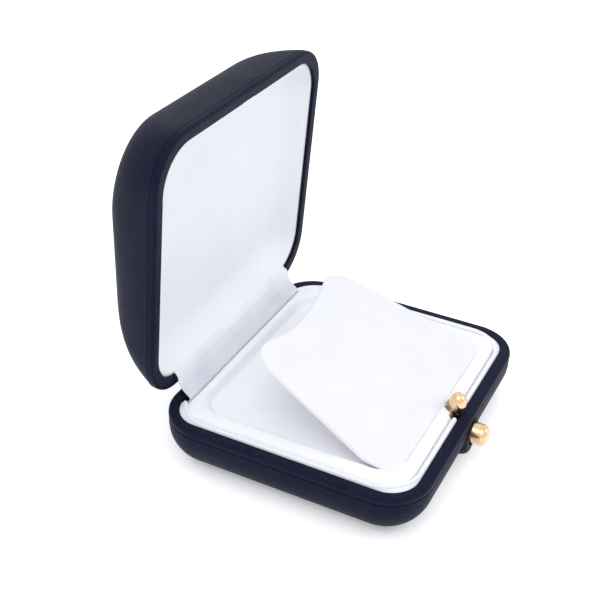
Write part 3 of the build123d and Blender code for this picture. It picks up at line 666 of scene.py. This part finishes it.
insets = [0.09, 0.2, 0.35, 0.55, 0.8, 1.1, 1.5, 2.0, 2.6, 3.3, 4.2]
insets += [5.3, 6.6, 8.2, 10.0, 12.5, 15.5, 19.0, 24.0, 30.0, 36.0]
seam_edge = arc((LID_SEAM_ROUND, BAND_HEIGHT + LID_SEAM_ROUND), LID_SEAM_ROUND, 270, 180, 5)
turned_under = [(SKIN, BAND_HEIGHT)] + seam_edge
rows = [thickened_to_front(wall_ring(inset, z)) for inset, z in turned_under]
rows += [crown_ring(inset, 0.0) for inset in insets]
rows += [crown_ring(inset, SKIN) for inset in insets[::-1]]
points, faces = strips(rows, closed=True, caps=False)
count = len(rows[0])
crown_out = len(turned_under) + len(insets) - 1
crown_in = crown_out + 1
faces = [face for face in faces if (min(face) // count, max(face) // count) != (crown_out, crown_in)]
faces.append(tuple(crown_out * count + step for step in range(count)))
faces.append(tuple(crown_in * count + step for step in range(count)))
make_piece("lid_leather", opened(points), faces, leather, "lid", "leather", ["lid_cover"])

# %% [markdown]
# ## The lining of the lid
# Satin is stretched over card and a thin wadding, so the floor of the lid is a shallow
# cushion that curves up into the walls. It is drawn like the leather, from the edge
# that tucks behind the rim to the middle, and then back.

# %% The lining of the lid
def lining_section(inset, floor, cove, swell):
    """Inset and height of the satin, from its tucked edge to the middle."""
    curve = arc((inset + cove, floor - cove), cove, 176, 90, 20)
    wall = [(inset - 0.02, 1.1)]
    steps = (3.0, 7.0, 12.0, 18.0, 23.0)
    across = [(inset + cove + step, floor + swell * min(step / 20.0, 1.0)) for step in steps]
    return wall + [(i, z) for i, z in curve if z > 1.2] + across


def lid_inner_corner(inset):
    """The corner radius inside the lid, in step with its rim."""
    return LID_INNER_CORNER + LID_RIM_WIDTH - inset


front_skin = lining_section(4.0, 8.5, 8.0, 0.0)
back_skin = lining_section(LID_RIM_WIDTH, 9.3, 8.8, 0.0)
rows = [wall_ring(i, LID_Z + z, lid_inner_corner(i)) for i, z in front_skin[::-1] + back_skin]
points, faces = strips(rows)
lid_satin = make_piece("lid_satin", opened(points), faces, lining_satin, "lid", "satin", ["lid_lining"])
catch_slot = block(-CATCH_SLOT_HALF, CATCH_SLOT_HALF, -37.9, -30.64, LID_Z - 1, LID_Z + 5.7)
cut_away(lid_satin, catch_slot, placed=opened)

# %% [markdown]
# ## The collar
# A strip of card wrapped in satin stands inside the rim of the base and guides the
# closing lid. It is slotted at the front for the hook, and lower at the back where the
# hinge ribbon comes out.

# %% The collar
COLLAR_FOOT = 9.0
COLLAR_BEND = 15.6
COLLAR_SHOULDER = 16.2
COLLAR_INNER = 4.9
COLLAR_SLOT_HALF = 4.6
RIBBON_GAP_HALF = 34.3
collar_heights = [COLLAR_FOOT, COLLAR_BEND, COLLAR_SHOULDER]
collar_outside = [(BASE_RIM_WIDTH, z) for z in collar_heights]
collar_fold = arc((BASE_RIM_WIDTH + 0.65, COLLAR_SHOULDER), 0.62, 170, 10, 9)
collar_inside = [(COLLAR_INNER, z) for z in collar_heights[::-1]]


def collar_corner(inset, z):
    """The corner radius of the collar: the lid's above the rim, the base's below it."""
    if z > RIM_Z:
        return lid_inner_corner(inset)
    return BASE_INNER_CORNER + BASE_RIM_WIDTH - inset


section = collar_outside + collar_fold + collar_inside
rows = [wall_ring(inset, z, collar_corner(inset, z)) for inset, z in section]
collar = make_piece("collar", *strips(rows, closed=True), lining_satin, "base", "satin", ["base_collar"])
cut_away(
    collar,
    block(-COLLAR_SLOT_HALF, COLLAR_SLOT_HALF, -40.0, -31.3, 5.0, 20.0),
    block(-RIBBON_GAP_HALF, RIBBON_GAP_HALF, 10.0, 39.0, 13.3, 20.0),
)

# %% [markdown]
# ## The insert
# The insert is a velvet-covered tray of foam. Its border is a soft roll, and the
# recess for the flap is pressed into it, with sloping sides. The rings follow that
# roll inwards and down to the floor of the recess. A notch at the front leaves room for
# the ball and its lever, which lean back into it when the button is pressed.

# %% The insert
RECESS_FLOOR = 14.7
PAD_BOTTOM = 13.1
BALL_Y, BALL_Z = -34.4, 18.6
CUP_RADIUS = 2.9
CUP_BACK = -33.5
CUP_FLOOR = 16.2
NOTCH_TOP = 20.0
border = [
    (39.8, 34.3, 6.9, PAD_BOTTOM),
    (39.8, 34.3, 6.9, 14.6),
    (39.65, 34.15, 6.8, 15.5),
    (39.2, 33.7, 6.6, 16.3),
    (38.4, 32.9, 6.3, 16.9),
    (37.4, 32.0, 6.4, 17.18),
    (36.6, 31.4, 6.8, 17.25),
    (36.0, 31.0, 7.2, 17.22),
    (35.5, 30.6, 7.6, 17.05),
    (35.05, 30.35, 7.8, 16.7),
    (34.6, 30.1, 7.8, 16.1),
    (34.2, 29.9, 7.6, 15.5),
    (33.8, 29.75, 7.3, 15.05),
    (33.2, 29.5, 6.9, 14.8),
    (32.2, 29.0, 6.2, RECESS_FLOOR),
    (30.0, 27.0, 5.5, RECESS_FLOOR),
    (24.0, 21.0, 4.0, RECESS_FLOOR),
    (16.0, 13.0, 3.0, RECESS_FLOOR),
    (6.0, 3.5, 2.0, RECESS_FLOOR),
]
rows = [ring(*measures) for measures in border]
pad = make_piece("velvet_pad", *strips(rows), velvet, "base", "velvet", ["insert_pad"])
cup = arc((0.0, BALL_Y), CUP_RADIUS, 180, 360, 20) + arc((0.0, CUP_BACK), CUP_RADIUS, 0, 180, 20)
hollow = strips([np.array([(x, y, z) for x, y in cup]) for z in (CUP_FLOOR, NOTCH_TOP)])
cut_away(
    pad,
    hollow,
    block(-2.2, 2.2, -40.0, -30.9, 12.0, NOTCH_TOP),
    block(-4.2, 4.2, -40.0, -33.3, 12.0, NOTCH_TOP),
)

# %% [markdown]
# ## The display flap
# The flap is a padded board sewn to the recess along its front edge and lifted to show
# a bracelet or chain. Its hinge side lies flat, and the board is bent, so that the left
# side stands up steeply and the right side hardly at all. It is drawn flat, as rings
# with a full round edge, and every point is then carried onto the bent surface: each
# line across the flap runs straight from the left side's curve to the right side's.

# %% The display flap
FLAP_HALF = 34.0
FLAP_LENGTH = 53.9
TUCK_DEPTH = 1.1
TUCK_RUN = 9.0
FLAP_FRONT = -30.3
FLAP_HALF_THICK = 1.0
FLAP_CORNERS = (8.5, 11.0, 1.5, 7.0)
FLARE = 0.026
FLARE_RUN = 12.0
SCOOP = 5.6
SCOOP_LEAN = -0.54
LINE_STEP = 0.25


def side_line(flat_run, bend_run, rise, low):
    """Evenly spaced places along one side of the flap, from the front edge."""
    y, z = FLAP_FRONT, low
    line = []
    for index in range(int(FLAP_LENGTH / LINE_STEP) + 9):
        line.append((y, z))
        along = (index * LINE_STEP - flat_run) / bend_run
        share = min(max(along, 0.0), 1.0)
        angle = math.radians(rise) * share * share * (3 - 2 * share)
        y += LINE_STEP * math.cos(angle)
        z += LINE_STEP * math.sin(angle)
    return np.array(line)


left_line = side_line(8.2, 3.4, 33.9, 17.2)
right_line = side_line(-0.7, 19.75, 14.3, 17.15)


def on_line(line, run):
    """The place at a run from the front edge."""
    runs = np.arange(len(line)) * LINE_STEP
    return np.interp(run, runs, line[:, 0]), np.interp(run, runs, line[:, 1])


def centre_line(eased, run):
    """The middle of the flap's thickness, tucked down a little along the front edge."""
    left_y, left_z = on_line(left_line, run)
    right_y, right_z = on_line(right_line, run)
    tuck = TUCK_DEPTH * max(1 - run / TUCK_RUN, 0.0) ** 2
    y = left_y * (1 - eased) + right_y * eased
    z = left_z * (1 - eased) + right_z * eased - tuck
    return y, z


def bent(points):
    """Carries flat flap points (x, run, height) onto the bent surface."""
    placed = []
    for x, run, height in points:
        share = (x + FLAP_HALF) / (2 * FLAP_HALF)
        eased = share * share * (3 - 2 * share) * 0.35 + share * 0.65
        left_y, left_z = on_line(left_line, run)
        right_y, right_z = on_line(right_line, run)
        y, z = centre_line(eased, run)
        next_y, next_z = centre_line(eased, run + 1.0)
        ahead = (0.0, next_y - y, next_z - z)
        sideways = (2 * FLAP_HALF, right_y - left_y, right_z - left_z)
        normal = Vector(sideways).cross(Vector(ahead)).normalized()
        placed.append((x + normal.x * height, y + normal.y * height, z + normal.z * height))
    return np.array(placed)


def flap_ring(inset, height):
    """One ring of the flat flap, flared in front and scooped in its rear edge."""
    corners = tuple(radius - inset * 0.5 for radius in FLAP_CORNERS)
    points = ring(FLAP_HALF - inset, FLAP_LENGTH / 2 - inset, corners, height)
    run = points[:, 1] + FLAP_LENGTH / 2
    near_rear = np.clip((run / FLAP_LENGTH - 0.55) / 0.45, 0, 1) ** 2
    across = points[:, 0] / FLAP_HALF
    points[:, 0] *= 1 + FLARE * np.clip(1 - run / FLARE_RUN, 0, 1)
    run -= SCOOP * near_rear * (1 - across ** 2) * (1 + SCOOP_LEAN * across)
    points[:, 1] = run
    return points


inward = [25.0, 21.0, 17.0, 13.5, 10.5, 8.0, 6.0, 4.4, 3.2, 2.3]
edge = arc((FLAP_HALF_THICK + 0.05, 0.0), FLAP_HALF_THICK, 90, 270, 12)
swell = [(i, FLAP_HALF_THICK + 0.12 * min(i / 8.0, 1.0)) for i in inward]
under = [(i, -FLAP_HALF_THICK) for i in inward[::-1]]
rows = [flap_ring(inset, height) for inset, height in swell + edge + under]
points, faces = strips(rows)
flap = make_piece("flap", bent(points), faces, flap_velvet_painted_shade, "flap", "velvet", ["flap_cover", "flap_board"])
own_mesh(flap)

# %% [markdown]
# ## The hinge ribbon
# A satin ribbon closes the gap between the tray and the lid, so that no hinge shows
# from inside. It comes up behind the insert, follows the roll of its border, and tucks
# in behind the lining. It is a thin strip over a smooth line, with fine pleats where it
# is gathered at the top.

# %% The hinge ribbon
def smooth_line(corners, count):
    """Even points on a smooth curve through corners."""
    corners = np.array(corners, float)
    before, after = 2 * corners[0] - corners[1], 2 * corners[-1] - corners[-2]
    padded_corners = np.vstack([before, corners, after])
    dense = []
    for index in range(len(corners) - 1):
        a, b, c, d = padded_corners[index:index + 4]
        square, cube = 2 * a - 5 * b + 4 * c - d, 3 * b - a - 3 * c + d
        for t in np.linspace(0, 1, 24, endpoint=False):
            dense.append(0.5 * (2 * b + (c - a) * t + square * t * t + cube * t ** 3))
    dense.append(corners[-1])
    dense = np.array(dense)
    reach = np.concatenate([[0], np.cumsum(np.linalg.norm(np.diff(dense, axis=0), axis=1))])
    places = np.linspace(0, reach[-1], count)
    return np.stack([np.interp(places, reach, dense[:, k]) for k in range(2)], axis=1), reach[-1]


RIBBON_HALF = 33.5
RIBBON_SLANT = 1.6
RIBBON_THICK = 0.3
PLEAT_DEPTH = 0.10
PLEATS_FROM = 0.45
ribbon_route = [
    (34.6, 13.8),
    (34.45, 15.4),
    (33.8, 16.5),
    (33.4, 17.1),
    (33.9, 17.75),
    (35.2, 18.6),
    (36.5, 19.7),
    (37.4, 21.0),
    (37.8, 22.4),
    (38.5, 23.4),
    (39.5, 23.95),
]
line, ribbon_length = smooth_line(ribbon_route, 38)
print("ribbon length mm:", round(float(ribbon_length), 1), "width mm:", 2 * RIBBON_HALF)
tangent = np.gradient(line, axis=0)
tangent /= np.linalg.norm(tangent, axis=1)[:, None]
across = np.stack([-tangent[:, 1], tangent[:, 0]], axis=1)
columns = np.linspace(-RIBBON_HALF, RIBBON_HALF, 161)
rows = []
for side in (-1, 1):
    order = range(len(line)) if side < 0 else range(len(line) - 1, -1, -1)
    for index in order:
        share = index / (len(line) - 1)
        pleat = PLEAT_DEPTH * math.sin(math.pi * min(max((share - PLEATS_FROM) / 0.5, 0), 1))
        ripple = np.sin(columns * 2.1) * 0.6 + np.sin(columns * 3.7 + 1.0) * 0.4
        offset = side * RIBBON_THICK / 2 + pleat * ripple
        y = line[index, 0] + across[index, 0] * offset
        z = line[index, 1] + across[index, 1] * offset
        rows.append(np.stack([columns + RIBBON_SLANT * (share - 0.3), y, z], axis=1))
points, faces = strips(rows, around=False, closed=True)
count = len(columns)
height = len(line)
for end in (0, count - 1):
    for index in range(height - 1):
        opposite = 2 * height - 1 - index
        around = (index, index + 1, opposite - 1, opposite)
        faces.append(tuple(row * count + end for row in around))
ribbon = make_piece("ribbon", points, faces, ribbon_satin, None, "satin", ["hinge_ribbon"])
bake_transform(ribbon)

# %% [markdown]
# ## The clasp
# The push button and the ball are turned parts, so each is a section spun round an
# axis. The section follows a lathe: a straight shank, a rolled edge and a slightly
# domed face for the button, and an egg that narrows downwards for the ball. A small tab
# joins the ball to its lever. The leather swells round the button, less above it, where
# the rim is near, than below.

# %% The clasp
TURNS = 64


def spun(section, centre, axis):
    """A section of (radius, height) spun round Y or Z through a centre."""
    rows = []
    for radius, height in section:
        row = []
        for step in range(TURNS):
            angle = 2 * math.pi * step / TURNS
            a, b = radius * math.cos(angle), radius * math.sin(angle)
            if axis == "z":
                row.append((centre[0] + a, centre[1] + b, centre[2] + height))
            else:
                row.append((centre[0] + a, centre[1] - height, centre[2] + b))
        rows.append(np.array(row))
    return strips(rows)


BUTTON_Z = 10.1
BUTTON_RADIUS = 3.15
BUTTON_CENTRE = (0, -HALF_DEPTH, BUTTON_Z)
button_section = [(0.4, -1.0)] + [(BUTTON_RADIUS, height) for height in (-1.0, 0.6, 2.4)]
button_section += arc((1.35, 3.3), 1.8, 0, 80, 14)
button_section += [(1.1, 5.13), (0.6, 5.17), (0.2, 5.18)]
points, faces = spun(button_section, BUTTON_CENTRE, "y")
make_piece("button", points, faces, gilt, "button", "gold", ["button_cap"])

ball_section = [(0.3, -3.25), (1.05, -3.12), (1.7, -2.7), (2.05, -2.15), (2.45, -1.1), (2.6, -0.1)]
ball_section += [(2.5, 0.8), (2.24, 1.6), (1.85, 2.3), (1.3, 2.85), (0.75, 3.12), (0.2, 3.2)]
ball_line, _ = smooth_line(ball_section, 30)
points, faces = spun([tuple(p) for p in ball_line], (0, BALL_Y, BALL_Z), "z")
make_piece("ball", points, faces, gilt, "hook", "gold", ["hook_ball"], crease=80)

tab_steps = [
    (12.0, -0.6, -33.7, 0.6, 0.45),
    (13.4, -0.6, -33.6, 0.65, 0.5),
    (15.0, -0.55, -33.4, 0.75, 0.65),
    (16.4, -0.5, -33.2, 0.9, 0.85),
    (17.5, -0.4, -33.2, 1.1, 1.0),
    (18.4, -0.2, -33.6, 1.2, 1.1),
]
tab_rows = []
for z, x, y, half_x, half_y in tab_steps:
    row = ring(half_x, half_y, half_y * 0.8, z)
    row[:, 0] += x
    row[:, 1] += y
    tab_rows.append(row)
make_piece("ball_tab", *strips(tab_rows), gilt, "hook", "gold")

BOSS_BORE = 3.3
BOSS_SHARE_ABOVE = 0.14
BOSS_STRETCH_BELOW = 1.28
boss_section = [(BOSS_BORE, -3.0), (BOSS_BORE, 0.2), (3.42, 0.38), (3.8, 0.46), (4.3, 0.44), (4.8, 0.36)]
boss_section += [(5.25, 0.12), (5.6, -0.35), (5.9, -1.1), (6.15, -2.2), (6.3, -3.4)]
boss_line, _ = smooth_line(boss_section, 40)
boss_points, boss_faces = spun([tuple(p) for p in boss_line], BUTTON_CENTRE, "y")
height = boss_points[:, 2] - BUTTON_Z
reach = np.hypot(boss_points[:, 0], height)
above = height * (BOSS_BORE + (reach - BOSS_BORE) * BOSS_SHARE_ABOVE) / reach
boss_points[:, 2] = BUTTON_Z + np.where(height > 0, above, height * BOSS_STRETCH_BELOW)
make_piece("boss", boss_points, boss_faces, leather, "base", "leather", ["clasp_boss"])

# %% [markdown]
# ## Floor and light
# The case stands on a white table under a big soft light, as for a catalogue. The
# floor is a plain pale sheet. A little light of its own, for the camera only, takes it
# to white, while the shadow under the case stays. The sky is even and pale. A large
# lamp on the left gives the forms their direction, and a weaker one stands in front.

# %% Floor and light
def seen_directly(wire):
    """1 for rays from the camera, from gloss and through glass, and 0 for the rest."""
    path = wire.tree.nodes.new("ShaderNodeLightPath")
    rays = ("Is Camera Ray", "Is Glossy Ray", "Is Transmission Ray")
    parts = [Wire(wire.tree, path.outputs[name]) for name in rays]
    return parts[0] + parts[1] + parts[2]


floor_mesh = bpy.data.meshes.new("table_top")
TABLE_HALF = 3
TABLE_Z = -0.0001
table_corners = [(x * TABLE_HALF, y * TABLE_HALF, TABLE_Z) for x, y in ((-1, -1), (1, -1), (1, 1), (-1, 1))]
floor_mesh.from_pydata(table_corners, [], [(0, 1, 2, 3)])
table_top = bpy.data.objects.new("table_top", floor_mesh)
bpy.context.scene.collection.objects.link(table_top)
paper = bpy.data.materials.new("table_paper")
paper.use_nodes = True
paper.node_tree.nodes.clear()
paper_wire = Wire(paper.node_tree)
sheet_shader = paper_wire.node("ShaderNodeBsdfDiffuse", None, {"Color": (0.90, 0.90, 0.91, 1.0)})
NEAR_CASE = (0.033, 0.0275, 0.0)
vector_math = "ShaderNodeVectorMath"
on_table = paper_wire.node("ShaderNodeTexCoord", out="Object")
unsigned = paper_wire.node(vector_math, {"operation": "ABSOLUTE"}, {0: on_table})
beyond = paper_wire.node(vector_math, {"operation": "SUBTRACT"}, {0: unsigned, 1: NEAR_CASE})
outside_only = paper_wire.node(vector_math, {"operation": "MAXIMUM"}, {0: beyond, 1: (0.0, 0.0, 0.0)})
distance = paper_wire.node(vector_math, {"operation": "LENGTH"}, {0: outside_only}, out="Value")
# Painted shade and light: the floor's own light is weak next to the case and stronger away from it, so the
# floor is painted darker round the case.
glow = (distance * 20.0).stepped((0.0, 0.06), (0.06, 0.15), (0.145, 0.38), (0.36, 0.5))
own_light = paper_wire.node("ShaderNodeEmission", None, {"Color": (1.0, 1.0, 1.0, 1.0), "Strength": glow})
lifted = paper_wire.node("ShaderNodeAddShader", None, {0: sheet_shader, 1: own_light})
by_ray = {0: seen_directly(paper_wire), 1: sheet_shader, 2: lifted}
mixed = paper_wire.node("ShaderNodeMixShader", None, by_ray)
paper_output = paper.node_tree.nodes.new("ShaderNodeOutputMaterial")
paper.node_tree.links.new(mixed.socket, paper_output.inputs[0])
floor_mesh.materials.append(paper)

world = bpy.data.worlds.new("pale_room")
world.use_nodes = True
world.node_tree.nodes.clear()
room = Wire(world.node_tree)
dim = room.node("ShaderNodeBackground", None, {"Color": (0.94, 0.96, 1.0, 1.0), "Strength": 0.87})
white = room.node("ShaderNodeBackground", None, {"Color": (1.0, 1.0, 1.0, 1.0), "Strength": 1.0})
either = room.node("ShaderNodeMixShader", None, {0: seen_directly(room), 1: dim, 2: white})
room_output = world.node_tree.nodes.new("ShaderNodeOutputWorld")
world.node_tree.links.new(either.socket, room_output.inputs[0])
bpy.context.scene.world = world


def soft_lamp(name, place, target, size, power):
    """A square area lamp that looks at a target."""
    data = bpy.data.lights.new(name, "AREA")
    data.shape = "SQUARE"
    data.size = size
    data.energy = power
    lamp = bpy.data.objects.new(name, data)
    lamp.location = place
    lamp.rotation_euler = (Vector(target) - Vector(place)).to_track_quat("-Z", "Y").to_euler()
    bpy.context.scene.collection.objects.link(lamp)
    return lamp


soft_lamp("window_light", (-0.40, -0.10, 0.85), (0, 0, 0.03), 0.6, 1.9)
soft_lamp("front_light", (0.35, -0.75, 0.55), (0, 0, 0.03), 0.5, 1.0)
